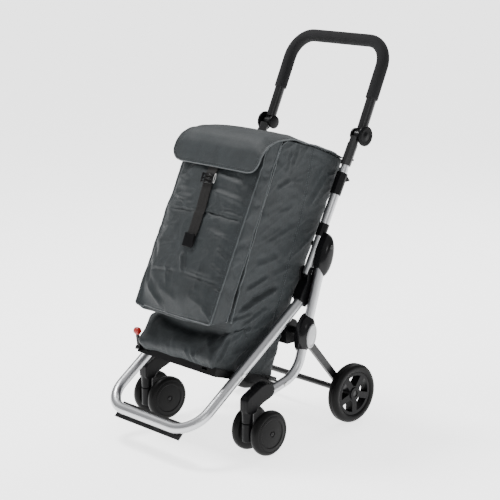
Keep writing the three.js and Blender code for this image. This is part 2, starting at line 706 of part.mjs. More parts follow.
function strapBuckle() {
  const place = (d, a) => along(STRAP_TOP, STRAP_SLOPE, -d, a);
  const outline = [place(14, 2.8), place(14, 8), place(44, 8), place(44, 2.8)];
  const slot = (d) => {
    const corners = [place(d, 1), place(d, 12), place(d + 6, 12), place(d + 6, 1)];
    return slab(corners, -STRAP_HALF, STRAP_HALF);
  };
  add("strap_buckle", "gloss", cut(slab(outline, -STRAP_HALF - 4, STRAP_HALF + 4), slot(20), slot(30)));
}

// ---------- assembly ----------
bothSides(sideTube);
bothSides(hingeCover);
bothSides(foldPin);
bothSides(legJoint);
bothSides(jointCap);
crossBeam();
bothSides(casterHousing);
bothSides(upperTube);
bothSides((side, sign) => tubeBand(`tube_collar_${side}`, sign, COLLAR_START, COLLAR_END, COLLAR_R));
bothSides(clampSleeve);
bothSides(clampCatch);
bothSides(innerTube);
bothSides(handleSocket);
handleTube();
foamGrip();
bothSides(tiltKnob);
frontTube();
bothSides(frameConnector);
bothSides(linkPin);
bothSides(trayLinkBolt);
footPad();
tray();
bothSides(trayBolt);
releaseLever();
releaseKnob();
bothSides(rearLeg);
rearAxle();
bothSides(rearRim);
bothSides(rearTyre);
bothSides(caster);
bagBody();
bagPocket();
bagFlap();
bagStrap();
strapBuckle();

export default trolley;
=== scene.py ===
"""A folding shopping trolley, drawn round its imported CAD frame."""
import bmesh
import bpy
import json
import math
from mathutils import Matrix, Vector, noise
from mathutils.bvhtree import BVHTree


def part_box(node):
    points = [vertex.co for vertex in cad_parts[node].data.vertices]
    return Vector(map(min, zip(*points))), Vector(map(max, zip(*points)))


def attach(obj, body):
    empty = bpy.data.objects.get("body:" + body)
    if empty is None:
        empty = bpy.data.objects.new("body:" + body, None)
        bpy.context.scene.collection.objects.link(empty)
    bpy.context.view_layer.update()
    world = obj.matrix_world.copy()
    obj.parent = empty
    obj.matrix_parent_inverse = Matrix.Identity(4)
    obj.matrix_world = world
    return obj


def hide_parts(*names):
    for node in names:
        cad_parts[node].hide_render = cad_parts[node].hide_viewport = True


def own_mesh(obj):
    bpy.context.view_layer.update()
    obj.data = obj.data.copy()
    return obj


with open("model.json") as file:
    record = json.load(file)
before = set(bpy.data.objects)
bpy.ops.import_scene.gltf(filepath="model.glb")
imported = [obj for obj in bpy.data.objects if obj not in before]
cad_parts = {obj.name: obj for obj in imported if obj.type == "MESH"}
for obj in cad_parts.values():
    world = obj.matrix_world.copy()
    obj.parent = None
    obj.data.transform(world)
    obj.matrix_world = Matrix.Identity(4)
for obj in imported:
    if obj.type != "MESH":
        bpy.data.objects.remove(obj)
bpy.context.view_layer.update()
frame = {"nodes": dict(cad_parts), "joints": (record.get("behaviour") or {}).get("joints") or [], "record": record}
NODES = frame["nodes"]
JOINTS = {joint["name"]: joint for joint in frame["joints"]}
MM = 0.001


# ---------- places, in millimetres as in the side view ----------
# A side-view point is (y, z), with y = 0 at the casters' swivel axes and z = 0 on the ground.
CASTER_Y = JOINTS["caster_left_swivel"]["pos_m"][1]


def place(x, y, z):
    """A side-view point at x across the width, as a vector in the row frame."""
    return Vector((x * MM, y * MM + CASTER_Y, z * MM))


def joint_at(name):
    return Vector(JOINTS[name]["pos_m"])


SIDES = (("left", -1), ("right", 1))
SLOT_OF = {part["node"]: part["material_slot"] for part in frame["record"]["subparts"]}
SLOPE = math.atan2(JOINTS["handle_height"]["axis"][2], JOINTS["handle_height"]["axis"][1])
UP_TUBE = Vector((0, math.cos(SLOPE), math.sin(SLOPE)))
FOLD = joint_at("frame_fold")


def added(name, data):
    """A new object in the scene."""
    item = bpy.data.objects.new(name, data)
    bpy.context.collection.objects.link(item)
    return item


def set_all(target, **values):
    for key, value in values.items():
        setattr(target, key, value)


# ---------- camera, floor and light ----------
def aim(item, location, target):
    """Puts an item at a location, facing a target."""
    item.location = location
    item.rotation_euler = (target - item.location).to_track_quat("-Z", "Y").to_euler()


def camera():
    data = bpy.data.cameras.new("camera")
    data.lens = 111.2
    data.sensor_width = 36
    data.clip_end = 50
    item = added("camera", data)
    aim(item, place(2861, -2512, 1397), place(46.3, 150, 481.5))
    bpy.context.scene.camera = item


def area_light(name, location, power, size):
    data = bpy.data.lights.new(name, "AREA")
    data.energy = power
    data.size = size
    aim(added(name, data), location, Vector((0, 0, 0.45)))


def set_stops(ramp, positions, colours):
    for stop, position, colour in zip(ramp.color_ramp.elements, positions, colours):
        stop.position = position
        stop.color = (*colour, 1)


def studio():
    world = bpy.data.worlds.new("studio")
    bpy.context.scene.world = world
    world.use_nodes = True
    tree = world.node_tree
    background = tree.nodes["Background"]
    # a bright ceiling, and a darker band low down that gives the tubes their contrast
    source = tree.nodes.new("ShaderNodeTexCoord")
    split = tree.nodes.new("ShaderNodeSeparateXYZ")
    ramp = tree.nodes.new("ShaderNodeValToRGB")
    set_stops(ramp, (0.02, 0.75), ((0.34, 0.34, 0.34), (0.8, 0.8, 0.81)))
    tree.links.new(source.outputs["Generated"], split.inputs["Vector"])
    tree.links.new(split.outputs["Z"], ramp.inputs["Fac"])
    tree.links.new(ramp.outputs["Color"], background.inputs["Color"])
    area_light("key", (-1.1, -0.35, 3.0), 92, 0.7)
    area_light("side", (3.0, -1.9, 2.1), 14, 0.6)
    area_light("back", (-0.4, 2.6, 2.4), 45, 1.4)
    mesh = bpy.data.meshes.new("floor")
    reach = 60
    corners = [(-reach, -reach, 0), (reach, -reach, 0), (reach, reach, 0), (-reach, reach, 0)]
    mesh.from_pydata(corners, [], [(0, 1, 2, 3)])
    floor = added("floor", mesh)
    floor.location.z = -0.0005
    paper = Look("floor_paper", (0.95, 0.95, 0.95), 0.9)
    paper.set("Emission Color", (1, 1, 1, 1))
    paper.set("Emission Strength", 2.2)
    mesh.materials.append(paper.material)


# ---------- materials ----------
class Look:
    """A node material with a Principled shader, and the helpers that give it grain."""

    def __init__(self, name, colour, roughness, metallic=0.0, **sockets):
        self.material = bpy.data.materials.new(name)
        self.material.use_nodes = True
        self.tree = self.material.node_tree
        self.shader = self.tree.nodes["Principled BSDF"]
        self.set("Base Color", (*colour, 1))
        self.set("Roughness", roughness)
        self.set("Metallic", metallic)
        for socket, value in sockets.items():
            self.set(socket.replace("_", " "), value)
        self.normal = None

    def set(self, socket, value):
        self.shader.inputs[socket].default_value = value

    def node(self, kind, **values):
        made = self.tree.nodes.new(kind)
        for key, value in values.items():
            if key in made.inputs:
                made.inputs[key].default_value = value
            else:
                setattr(made, key, value)
        return made

    def link(self, out, into):
        self.tree.links.new(out, into)

    def coords(self, scale=(1, 1, 1)):
        source = self.node("ShaderNodeTexCoord")
        mapping = self.node("ShaderNodeMapping")
        mapping.inputs["Scale"].default_value = scale
        self.link(source.outputs["Object"], mapping.inputs["Vector"])
        return mapping.outputs["Vector"]

    def noise(self, scale, detail=3, stretch=(1, 1, 1), rough=0.5):
        made = self.node("ShaderNodeTexNoise", Scale=scale, Detail=detail, Roughness=rough)
        self.link(self.coords(stretch), made.inputs["Vector"])
        return made.outputs["Fac"]

    def colour(self, value, low, high, start=0.3, end=0.7):
        made = self.node("ShaderNodeValToRGB")
        set_stops(made, (start, end), (low, high))
        self.link(value, made.inputs["Fac"])
        self.link(made.outputs["Color"], self.shader.inputs["Base Color"])

    def roughness(self, value, low, high):
        made = self.node("ShaderNodeMapRange")
        made.inputs["To Min"].default_value = low
        made.inputs["To Max"].default_value = high
        self.link(value, made.inputs["Value"])
        self.link(made.outputs["Result"], self.shader.inputs["Roughness"])

    def bump(self, value, strength, distance):
        made = self.node("ShaderNodeBump", Strength=strength, Distance=distance)
        self.link(value, made.inputs["Height"])
        if self.normal is not None:
            self.link(self.normal, made.inputs["Normal"])
        self.normal = made.outputs["Normal"]
        self.link(self.normal, self.shader.inputs["Normal"])

    def waves(self, scale, direction):
        made = self.node("ShaderNodeTexWave", Scale=scale, bands_direction=direction)
        self.link(self.coords(), made.inputs["Vector"])
        return made.outputs["Fac"]


def shade(colour, factor):
    return tuple(min(1, c * factor) for c in colour)


def moulded(name, colour, roughness, grain=900, **sockets):
    """Moulded plastic or rubber: a fine grain, and faint handling marks in the gloss."""
    look = Look(name, colour, roughness, **sockets)
    look.colour(look.noise(14, 4), shade(colour, 0.82), shade(colour, 1.2))
    look.roughness(look.noise(45, 5, rough=0.7), roughness - 0.07, roughness + 0.09)
    look.bump(look.noise(grain, 2), 0.25, 0.00012)
    return look


def anodised(name, colour):
    """Satin aluminium tube: bright, with faint streaks along the tube and a soft haze."""
    look = Look(name, colour, 0.3, 1.0)
    streaks = look.noise(420, 3, (1, 0.12, 0.12))
    look.colour(look.noise(9, 3), shade(colour, 0.93), shade(colour, 1.05))
    look.roughness(streaks, 0.27, 0.4)
    look.bump(streaks, 0.06, 0.00008)
    return look


def woven(name, colour, thread, contrast=1.0, **sockets):
    """Woven fabric: a plain weave, slubs along the threads and slow changes of shade."""
    look = Look(name, colour, 0.78, **sockets)
    slow = look.noise(7, 4, rough=0.6)
    slub = look.noise(260, 3, (1, 1, 0.14))
    weave = look.node("ShaderNodeMath", operation="MULTIPLY")
    look.link(look.waves(thread, "X"), weave.inputs[0])
    look.link(look.waves(thread, "Z"), weave.inputs[1])
    mixed = look.node("ShaderNodeMix", data_type="FLOAT", Factor=0.45)
    look.link(slow, mixed.inputs[2])
    look.link(slub, mixed.inputs[3])
    low, high = shade(colour, 1 - 0.3 * contrast), shade(colour, 1 + 0.32 * contrast)
    look.colour(mixed.outputs[0], low, high, 0.32, 0.68)
    look.roughness(slow, 0.52, 0.68)
    look.bump(weave.outputs[0], 0.35, 0.00025)
    look.bump(look.noise(120, 4, (1, 1, 0.5)), 0.16, 0.0006)
    return look


SLATE = (0.0135, 0.0170, 0.0185)
LOOKS = {
    "aluminium_tube": anodised("satin_aluminium", (0.46, 0.465, 0.475)),
    "black_plastic": moulded("black_plastic", (0.0026, 0.0026, 0.003), 0.36, Specular_IOR_Level=0.1),
    "black_gloss": moulded("black_gloss", (0.004, 0.004, 0.0045), 0.2, 500, Specular_IOR_Level=0.2),
    "black_paint": moulded("black_paint", (0.007, 0.007, 0.0075), 0.32, 500, Specular_IOR_Level=0.3),
    "foam": moulded("grip_foam", (0.0098, 0.0098, 0.0104), 0.9, 1500, Specular_IOR_Level=0.2),
    "wheel_rubber": moulded("wheel_rubber", (0.003, 0.003, 0.003), 0.42, 800, Specular_IOR_Level=0.1),
    "pad_rubber": moulded("pad_rubber", (0.009, 0.009, 0.009), 0.6, 700, Specular_IOR_Level=0.25),
    "silver_plastic": moulded("silver_plastic", (0.40, 0.405, 0.41), 0.34, 1200, Metallic=0.35),
    "red_plastic": moulded("red_plastic", (0.32, 0.010, 0.006), 0.33, 700),
    "fastener_steel": moulded("zinc_steel", (0.58, 0.58, 0.57), 0.32, 900, Metallic=0.9),
    "bag_fabric": woven("slate_fabric", SLATE, 700, Specular_IOR_Level=0.3, Sheen_Weight=0.02),
    "strap_webbing": woven("strap_webbing", (0.0062, 0.0056, 0.0052), 500, 0.8, Specular_IOR_Level=0.2),
}
PIPING = woven("piping", shade(SLATE, 1.9), 700, 0.6, Sheen_Weight=0.2)
THREAD = woven("thread", shade(SLATE, 2.6), 900, 0.5)
DARK_PIN = moulded("dark_pin", (0.02, 0.02, 0.02), 0.3, 900, Metallic=0.6)
# a darker copy of the slate cloth for the pocket's side gussets: painted shade, for the sides that face away from
# the light
GUSSET_PAINTED_SHADE = woven("gusset", shade(SLATE, 0.72), 700, 0.6)


# ---------- meshes ----------
def dress(mesh, look, smooth=None):
    """Gives a mesh one material and smooth shading, but with edges over smooth degrees sharp."""
    mesh.materials.clear()
    mesh.materials.append(look.material)
    mesh.polygons.foreach_set("use_smooth", [True] * len(mesh.polygons))
    if smooth:
        mesh.set_sharp_from_angle(angle=math.radians(smooth))


def piece(name, mesh, body, slot, *replaced, look=None, smooth=40):
    """A finished mesh as a piece that rides on a body."""
    mesh.name = name
    item = added(name, mesh)
    dress(mesh, look or LOOKS[slot], smooth)
    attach(item, body)
    if replaced:
        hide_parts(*replaced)
    return item


def mesh_from(vertices, faces):
    mesh = bpy.data.meshes.new("made")
    mesh.from_pydata([tuple(v) for v in vertices], [], faces)
    mesh.update()
    return mesh


def ring_at(vertices, centre, side, other, sides):
    """Adds an ellipse of points, or one point where its axes have no length: their indices."""
    if side.length < 1e-7:
        vertices.append(centre)
        return [len(vertices) - 1] * sides
    for k in range(sides):
        a = 2 * math.pi * k / sides
        vertices.append(centre + side * math.cos(a) + other * math.sin(a))
    return list(range(len(vertices) - sides, len(vertices)))


def skinned(loops):
    """The faces between neighbouring loops, which are triangles where a loop is a single point."""
    faces = []
    for a, b in zip(loops, loops[1:]):
        for k in range(len(a)):
            n = (k + 1) % len(a)
            quad = [a[k], a[n], b[n], b[k]]
            face = [v for i, v in enumerate(quad) if v not in quad[:i]]
            if len(face) > 2:
                faces.append(tuple(face))
    return faces


def capped(loops):
    """The faces of a rod: its skin and both its ends."""
    return skinned(loops) + [tuple(reversed(loops[0])), tuple(loops[-1])]


def grid_faces(rows, across):
    """The faces of an open sheet of points in rows."""
    return [
        (a, a + 1, a + across + 1, a + across)
        for j in range(rows - 1) for a in range(j * across, (j + 1) * across - 1)
    ]


def fillet_route(corners, radius, steps=10):
    """Points and tangents of a route through corners, each rounded with a bend."""
    first = (corners[1] - corners[0]).normalized()
    route = [(corners[0], first)]
    for before, here, after in zip(corners, corners[1:], corners[2:]):
        a, b = (here - before).normalized(), (after - here).normalized()
        turn = a.angle(b)
        inward = (b - a * a.dot(b)).normalized()
        start = here - a * radius * math.tan(turn / 2)
        for i in range(steps + 1):
            t = turn * i / steps
            point = start + a * radius * math.sin(t) + inward * radius * (1 - math.cos(t))
            route.append((point, a * math.cos(t) + inward * math.sin(t)))
    route.append((corners[-1], (corners[-1] - corners[-2]).normalized()))
    return route


def sweep(route, radii, inner=0.0, sides=36):
    """A round tube along a route: radii gives (distance from an end, radius) near both ends."""
    (first, ahead), *middle, (last, onward) = route
    full = radii[-1][1]
    rings = [(first + ahead * d, ahead, r) for d, r in radii]
    rings += [(point, tangent, full) for point, tangent in middle]
    rings += [(last - onward * d, onward, r) for d, r in reversed(radii)]
    vertices = []

    def tube(radii_at):
        side = None
        loops = []
        for centre, tangent, radius in radii_at:
            if side is None:
                side = tangent.orthogonal().normalized()
            side = (side - tangent * tangent.dot(side)).normalized()
            other = tangent.cross(side)
            loops.append(ring_at(vertices, centre, side * radius, other * radius, sides))
        return loops

    loops = tube(rings)
    if not inner:
        return mesh_from(vertices, capped(loops))
    inside = tube([(centre, tangent, inner) for centre, tangent, _ in rings])
    return mesh_from(vertices, skinned(loops + inside[::-1] + loops[:1]))


def lathe(profile, centre, axis, sides=64):
    """A closed profile of (radius, distance along the axis), turned about the axis."""
    axis = Vector(axis).normalized()
    side = axis.orthogonal().normalized()
    other = axis.cross(side)
    vertices = []
    loops = [ring_at(vertices, centre + axis * h, side * r, other * r, sides) for r, h in profile]
    hollow = profile[0][0] > 1e-7
    return mesh_from(vertices, skinned(loops + loops[:1] if hollow else loops))


def scaled(profile):
    return [(r * MM, h * MM) for r, h in profile]


# ---------- tubes ----------
SIDE_TUBE = [(269.5, 488), (172, 177.6), (58, 148)]
FRONT_TUBE = [(226, 368.6), (-164, 89.7)]
TUBE_WALL = 1.6
SIDE_X, UPPER_X, FRONT_X, HANDLE_X = 196.6, 168.6, 167.6, 169.3  # from the middle to each tube's axis
SIDE_R, FRONT_R = 12.5, 13.6


def chamfered(radius, size=0.6):
    """Tube end radii, with a small chamfer."""
    return [(0, (radius - size) * MM), (size * MM, radius * MM)]


def tubes():
    for side, sign in SIDES:
        corners = [place(sign * SIDE_X, y, z) for y, z in SIDE_TUBE]
        route = fillet_route(corners, 80 * MM)
        mesh = sweep(route, chamfered(SIDE_R), (SIDE_R - TUBE_WALL) * MM)
        piece(f"side_tube_{side}_round", mesh, "side_frame", "aluminium_tube", f"side_tube_{side}")
        for node, body, radius, start, end in (
            ("upper_tube", "upper_frame", 12, -8.5, 283), ("inner_tube", "handle_slide", 10.1, 100, 323),
        ):
            link = joint_at("front_frame_fold")
            ends = [link + UP_TUBE * d * MM + Vector((sign * UPPER_X * MM, 0, 0)) for d in (start, end)]
            route = [(p, UP_TUBE) for p in ends]
            mesh = sweep(route, chamfered(radius), (radius - TUBE_WALL) * MM)
            piece(f"{node}_{side}_round", mesh, body, "aluminium_tube", f"{node}_{side}")
    top, bar = FRONT_TUBE
    left, right = [place(-FRONT_X, *end) for end in (top, bar)], [place(FRONT_X, *end) for end in (bar, top)]
    mesh = sweep(fillet_route(left + right, 72 * MM), chamfered(FRONT_R), (FRONT_R - TUBE_WALL) * MM, 44)
    piece("front_tube_round", mesh, "front_frame", "aluminium_tube", "front_tube")


def handle():
    knob = joint_at("handle_tilt")
    bar = place(0, 534, 997)
    arm = (bar - knob).normalized()
    handle_r = 13.6
    across = Vector((HANDLE_X * MM, 0, 0))
    grips = (("foam_grip", 16.8, 99, "foam"), ("handle_tube", handle_r, 15, "black_paint"))
    for node, radius, start, slot in grips:
        foot = knob + arm * start * MM
        corners = [foot - across, bar - across, bar + across, foot + across]
        ends = chamfered(radius, 2.2 if node == "foam_grip" else 0.6)
        inner = 14.0 if node == "foam_grip" else handle_r - TUBE_WALL
        mesh = sweep(fillet_route(corners, 68 * MM, 14), ends, inner * MM, 40)
        item = piece(f"{node}_round", mesh, "handle", slot, node)


# ---------- wheels ----------
def wheels():
    for side, sign in SIDES:
        centre = joint_at(f"rear_wheel_{side}_spin")
        half = [
            (58.4, 12), (60, 13.6), (64, 15), (68, 15.5), (72.5, 14.9), (76.5, 12.6), (78.9, 9.4),
            (79.6, 7.4), (78.9, 6.8), (79.8, 6.2), (80, 3.2), (80, 0.9), (79.2, 0.5),
        ]
        profile = half + [(r, -h) for r, h in reversed(half)]
        mesh = lathe(scaled(profile), centre, (1, 0, 0), 96)
        body = f"rear_wheel_{side}"
        piece(f"rear_tyre_{side}_round", mesh, body, "wheel_rubber", f"rear_tyre_{side}", smooth=50)
        for label, across in (("inner", -sign), ("outer", sign)):
            joint = f"caster_{side}_{label}_spin"
            axis = Vector(JOINTS[joint]["axis"]) * across
            profile = [
                (5.4, -9), (34, -9), (37, -11), (47, -12.6), (53.5, -11), (57, -7.4), (58.3, -3),
                (58.4, 0), (58.3, 3), (57, 7.4), (54.2, 10.6), (50.6, 12.2), (47.6, 12.3),
                (46.6, 11.6), (45.6, 12.2), (38, 12.6), (36.4, 11.2), (34.6, 11.4), (20, 12.6),
                (10, 12.9), (8.6, 12.9), (8.2, 11.4), (5.4, 11.4),
            ]
            mesh = lathe(scaled(profile), joint_at(joint), axis, 72)
            node = f"caster_wheel_{label}_{side}"
            body = f"caster_{side}_{label}"
            piece(f"{node}_round", mesh, body, "wheel_rubber", node, smooth=35)
            cap = [(0, 7), (4.6, 7), (4.6, 12.6), (3.8, 13.2), (2.2, 13.2), (1.8, 12.2), (0, 12.2)]
            mesh = lathe(scaled(cap), joint_at(joint), axis, 24)
            piece(f"{node}_cap", mesh, body, "black_plastic", look=LOOKS["black_gloss"])


# ---------- knobs, covers and caps ----------
def knobs():
    for side, sign in SIDES:
        centre = joint_at("handle_tilt")
        centre.x = 0
        plate = [
            (0, 183.8), (25, 183.8), (26.4, 184.8), (26.8, 187), (26.2, 189.4), (24.6, 190.8),
            (21.4, 191.4), (20.6, 190.6), (19.8, 190.5), (18.8, 191.5), (16.2, 191.5),
            (15.2, 190.2), (6, 190.4), (4.6, 191.6), (2.4, 192), (0, 192),
        ]
        inner = [(0, 148), (15.6, 148), (17.9, 149.4), (18.6, 152), (17.9, 155.2), (0, 155.2)]
        pin = [(0, 154), (5, 154), (5, 185), (0, 185)]
        for label, profile in (("outer", plate), ("inner", inner), ("pin", pin)):
            mesh = lathe(scaled(profile), centre, (sign, 0, 0), 56)
            name = f"tilt_knob_{side}_{label}"
            piece(name, mesh, "handle", "black_plastic")
        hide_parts(f"tilt_knob_{side}")


def oval(name, sign, spot, slope, half_long, half_wide, x0, x1, slot, node, rim=False):
    """An oval shell standing out from x0 to x1, with its long axis at a slope: a dome, or rimmed."""
    rings, sides = 16, 72
    vertices = []
    angle = math.radians(slope)
    long_axis = Vector((0, math.cos(angle), math.sin(angle))) * half_long * MM
    wide_axis = Vector((0, -math.sin(angle), math.cos(angle))) * half_wide * MM
    middle = place(0, *spot)
    if rim:
        profile = [(0, 0), (1, 0), (1, 0.5), (0.97, 0.85), (0.92, 1), (0.86, 0.92), (0.82, 0.7)]
        profile += [(0.6, 0.86), (0.3, 0.96), (0, 1)]
    else:
        turns = [math.pi / 2 * i / rings for i in range(1, rings)]
        dome = [(math.cos(t) ** 0.62, math.sin(t) ** 0.8) for t in turns]
        profile = [(0, 0), (1, 0), *dome, (0, 1)]
    loops = []
    for r, h in profile:
        centre = middle + Vector((sign * (x0 + (x1 - x0) * h) * MM, 0, 0))
        loops.append(ring_at(vertices, centre, long_axis * r, wide_axis * r, sides))
    mesh = mesh_from(vertices, skinned(loops))
    flip_outwards(mesh)
    return piece(name, mesh, "side_frame", slot, node, smooth=60)


def flip_outwards(mesh):
    work = bmesh.new()
    work.from_mesh(mesh)
    bmesh.ops.recalc_face_normals(work, faces=work.faces)
    work.to_mesh(mesh)
    work.free()


def covers():
    shells = (
        ("hinge_cover", "shell", (269.5, 472), 74, 59, 22.5, 184.5, 218.5, "black_gloss"),
        ("leg_joint", "shell", (203, 280), 75, 51, 27, 184.5, 217, "black_gloss"),
        ("joint_cap", "face", (204.5, 276), 78, 31, 15.5, 216.2, 221, "silver_plastic"),
    )
    for side, sign in SIDES:
        for node, label, *shape in shells:
            oval(f"{node}_{side}_{label}", sign, *shape, f"{node}_{side}", rim=node == "joint_cap")


# ---------- the bag ----------
# Side-view outlines of the soft parts, from the bottom up: the same places as their CAD solids.
EDGE_FOOT, MOUTH_FRONT = (-13, 336), (186, 777)
BAG_FRONT = [
    (-59, 222), (-66, 238), (-64, 255), (-46, 276), (-30, 289), (-15, 292), (-9, 310), EDGE_FOOT,
    (56, 515), (163, 766), MOUTH_FRONT,
]
BAG_BACK = [(133, 160), (139, 176), (164, 262), (236, 402), (336, 592), (380, 674), (391, 703)]
POCKET_FOOT, POCKET_TOP = (-80, 345), (86, 694)
# above the pocket's face its cloth leans back, up to the bag's mouth under the lid
POCKET_HEAD = [(98, 720), (108, 750), (128, 775)]
POCKET_FRONT = [POCKET_FOOT, (-40, 428), (2, 516), (44, 603), POCKET_TOP, *POCKET_HEAD]
POCKET_BACK = [(-24, 340), (13, 428), (53, 516), (91, 603), (132, 698), (144, 725), (157, 754), (170, 776)]
MOUTH_DEPTH, MOUTH_SLOPE = 205, 0.36
BAG_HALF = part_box("bag_body")[1].x / MM
POCKET_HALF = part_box("bag_pocket")[1].x / MM
TRAY_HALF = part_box("tray")[1].x / MM
CLOTH = 1.6  # thickness


def along(points, t):
    """The point at share t of a polyline's length, rounded a little at its corners."""
    return (at_share(points, t - 0.02) + at_share(points, t + 0.02) + at_share(points, t) * 2) / 4


def at_share(points, t):
    t = min(max(t, 0), 1)
    spots = [Vector(p) for p in points]
    lengths = [(b - a).length for a, b in zip(spots, spots[1:])]
    run = t * sum(lengths)
    for a, b, length in zip(spots, spots[1:], lengths):
        if run <= length:
            return a.lerp(b, run / length)
        run -= length
    return spots[-1]


def bell(t):
    return math.exp(-(t ** 2))


def smooth_step(t):
    t = min(max(t, 0), 1)
    return t * t * (3 - 2 * t)


def rounded_ring(half, depth, corner, count):
    """Evenly spaced points (x, depth) round a rounded rectangle."""
    corner = min(corner, half * 0.9, depth * 0.45)
    straight = [2 * (half - corner), depth - 2 * corner] * 2
    arc = math.pi / 2 * corner
    total = sum(straight) + 4 * arc
    out = []
    for i in range(count):
        run = total * i / count
        x, d, heading = -half + corner, 0.0, 0.0
        for length in straight:
            if run <= length:
                out.append((x + math.cos(heading) * run, d + math.sin(heading) * run))
                break
            run -= length
            x, d = x + math.cos(heading) * length, d + math.sin(heading) * length
            cx, cd = x - math.sin(heading) * corner, d + math.cos(heading) * corner
            if run <= arc:
                a = run / corner
                out.append((cx + math.sin(heading + a) * corner, cd - math.cos(heading + a) * corner))
                break
            run -= arc
            heading += math.pi / 2
            x, d = cx + math.sin(heading) * corner, cd - math.cos(heading) * corner
    return out


def loft(front, back, half_at, corner, rows, count):
    """A bag wall lofted from its bottom to its open top, with its floor closed by shrinking rings."""
    vertices, walls = [], []
    for j in range(rows + 1):
        t = j / rows
        f, b = along(front, t), along(back, t)
        across = (b - f).normalized()
        walls.append(list(range(len(vertices), len(vertices) + count)))
        for x, d in rounded_ring(half_at(t), (b - f).length, corner, count):
            spot = f + across * d
            vertices.append(place(x, spot.x, spot.y))
    faces = skinned(walls)
    rim, last = vertices[:count], walls[0]
    centre = sum(rim, Vector()) / count
    for step in (0.93, 0.8, 0.6, 0.35):
        ring = list(range(len(vertices), len(vertices) + count))
        vertices += [centre.lerp(v, step) for v in rim]
        faces += skinned([ring, last])
        last = ring
    faces += skinned([[len(vertices)] * count, last])
    vertices.append(centre)
    return mesh_from(vertices, faces)


def billow(mesh, hold, grow, pressure, cap, frames=22):
    """Cloth: the fabric is cut a little larger than its frame, held at its seams, and puffed out.

    hold gives each vertex's pin weight, and cap is how far a point may move.
    """
    item = added("billow", mesh)
    group = item.vertex_groups.new(name="seams")
    for vertex in mesh.vertices:
        weight = hold(vertex.co)
        if weight > 0:
            group.add([vertex.index], weight, "REPLACE")
    cloth = item.modifiers.new("cloth", "CLOTH")
    settings = cloth.settings
    set_all(
        settings, quality=6, mass=0.25, tension_stiffness=25, compression_stiffness=25,
        shear_stiffness=12, bending_stiffness=0.35, air_damping=3, vertex_group_mass="seams",
        pin_stiffness=1, shrink_min=-grow, use_pressure=True, uniform_pressure_force=pressure,
    )
    settings.effector_weights.gravity = 0
    cloth.collision_settings.use_collision = False
    scene = bpy.context.scene
    cloth.point_cache.frame_start = 1
    cloth.point_cache.frame_end = frames
    for frame_number in range(1, frames + 1):
        scene.frame_set(frame_number)
    view = bpy.context.evaluated_depsgraph_get()
    made = item.evaluated_get(view).to_mesh()
    moved = [v.co.copy() for v in made.vertices]
    for vertex, spot in zip(mesh.vertices, moved):
        step = spot - vertex.co
        if step.length > cap:
            step.length = cap
        vertex.co = vertex.co + step
    item.evaluated_get(view).to_mesh_clear()
    scene.frame_set(1)
    bpy.data.objects.remove(item)


def modified(mesh, kind, **settings):
    """The mesh with one modifier applied."""
    item = added("modified", mesh)
    modifier = item.modifiers.new("modifier", kind)
    set_all(modifier, **settings)
    view = bpy.context.evaluated_depsgraph_get()
    made = bpy.data.meshes.new_from_object(item.evaluated_get(view))
    bpy.data.objects.remove(item)
    return made


def ridge(point, start, end, width):
    """A crease's height at a point: a sharp crest, a soft slope on one side, a hollow beyond it."""
    a, b, p = Vector(start), Vector(end), Vector(point)
    run = b - a
    t = min(max((p - a).dot(run) / run.length_squared, 0), 1)
    away = p - (a + run * t)
    if away.length > width * 4:
        return 0.0
    across = away.length / width * (1 if run.x * away.y - run.y * away.x > 0 else -1)
    crest = math.exp(-abs(across) * (1.5 if across < 0 else 2.6))
    hollow = 0.55 * math.exp(-((across - 1.15) ** 2) * 2.4)
    return (crest - hollow) * smooth_step(min(t, 1 - t) * 4 + 0.05)


# the side panels' creases: start and end in the side view, width and height
SIDE_FOLDS = [
    ((7, 352), (161, 398), 9, 5.0), ((52, 372), (157, 400), 6, 2.6), ((41, 407), (126, 433), 8, 3.4),
    ((-14, 339), (75, 344), 7, 3.4), ((-50, 232), (6, 300), 7, 3.6), ((0, 296), (66, 309), 7, 3.2),
    ((-23, 272), (56, 293), 6, 2.6), ((-30, 228), (52, 262), 8, 3.6), ((10, 214), (92, 268), 8, 3.4),
    ((40, 204), (118, 246), 7, 2.8), ((20, 318), (128, 352), 7, 2.6), ((64, 300), (150, 330), 7, 2.6),
    ((80, 262), (128, 300), 7, 2.2), ((-48, 262), (-6, 318), 6, 2.4), ((69, 464), (164, 478), 12, 2.4),
    ((110, 520), (222, 548), 14, 2.2), ((148, 652), (205, 672), 8, 3.4), ((196, 668), (246, 662), 7, 2.0),
    ((262, 588), (333, 668), 9, 3.8), ((330, 665), (366, 671), 7, 3.2), ((276, 640), (318, 694), 8, 2.4),
    ((206, 700), (232, 756), 8, 3.0), ((186, 690), (204, 748), 6, 2.6), ((236, 612), (262, 690), 12, 2.2),
    ((150, 590), (212, 600), 12, 1.8), ((176, 468), (214, 512), 9, 2.0), ((130, 430), (204, 446), 10, 2.2),
]
